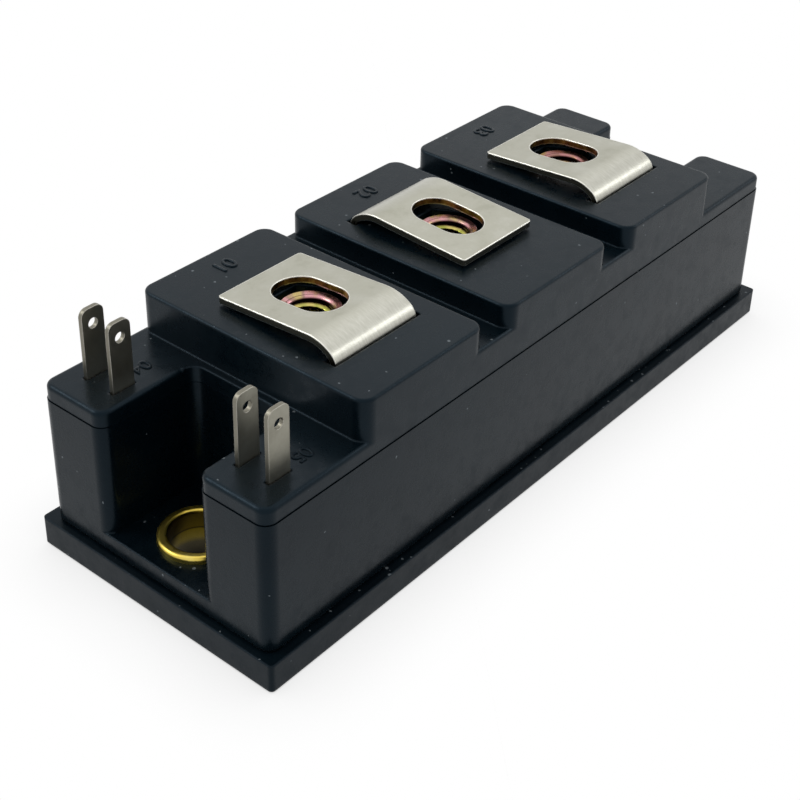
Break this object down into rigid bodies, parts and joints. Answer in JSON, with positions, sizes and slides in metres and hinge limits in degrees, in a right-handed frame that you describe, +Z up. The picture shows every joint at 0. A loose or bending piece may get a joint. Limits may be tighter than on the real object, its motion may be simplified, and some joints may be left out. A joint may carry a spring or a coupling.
{
  "type": "darlington transistor module",
  "caption": "Power transistor module in a black moulded case with screw terminals over captive nuts, control tabs and end bays for mounting screws.",
  "frame": {"origin": "middle of the mounting face, at the underside of the heat sink plate", "axes": "+X along the length towards the end without control tabs, +Y across, +Z up through the terminal screws"},
  "size_m": [0.094, 0.034, 0.0289],
  "materials": {
    "nickel_plate": "satin nickel plating on copper",
    "frame_plastic": "fine matt, black",
    "case_plastic": "fine matt, black",
    "lid_plastic": "fine matt, black",
    "brass": "turned",
    "nickel": "satin nickel plating on copper sheet",
    "zinc": "yellow passivated zinc",
    "tin": "tinned",
    "copper": "bare copper",
    "ceramic": "fired",
    "silicon": "metallised",
    "aluminium_wire": "drawn",
    "sleeve": "insulating sleeve",
    "resin": "cast"
  },
  "bodies": {
    "root": {"base_plate": "nickel_plate", "base_frame": "frame_plastic", "case_shell": "case_plastic", "lid": "lid_plastic", "bush_front": "brass", "bush_rear": "brass", "terminal_front": "nickel", "terminal_middle": "nickel", "terminal_rear": "nickel", "nut_front": "zinc", "nut_middle": "zinc", "nut_rear": "zinc", "tab_1": "tin", "tab_2": "tin", "tab_3": "tin", "tab_4": "tin", "foil_front": "copper", "foil_rear": "copper", "ceramic_front": "ceramic", "ceramic_rear": "ceramic", "pads_front": "copper", "pads_rear": "copper", "transistor_front": "silicon", "transistor_rear": "silicon", "diode_front": "silicon", "diode_rear": "silicon", "bonds_front": "aluminium_wire", "bonds_rear": "aluminium_wire", "link_strap": "copper", "lead_1": "sleeve", "lead_2": "sleeve", "lead_3": "sleeve", "lead_4": "sleeve", "resin": "resin"}
  },
  "joints": []
}
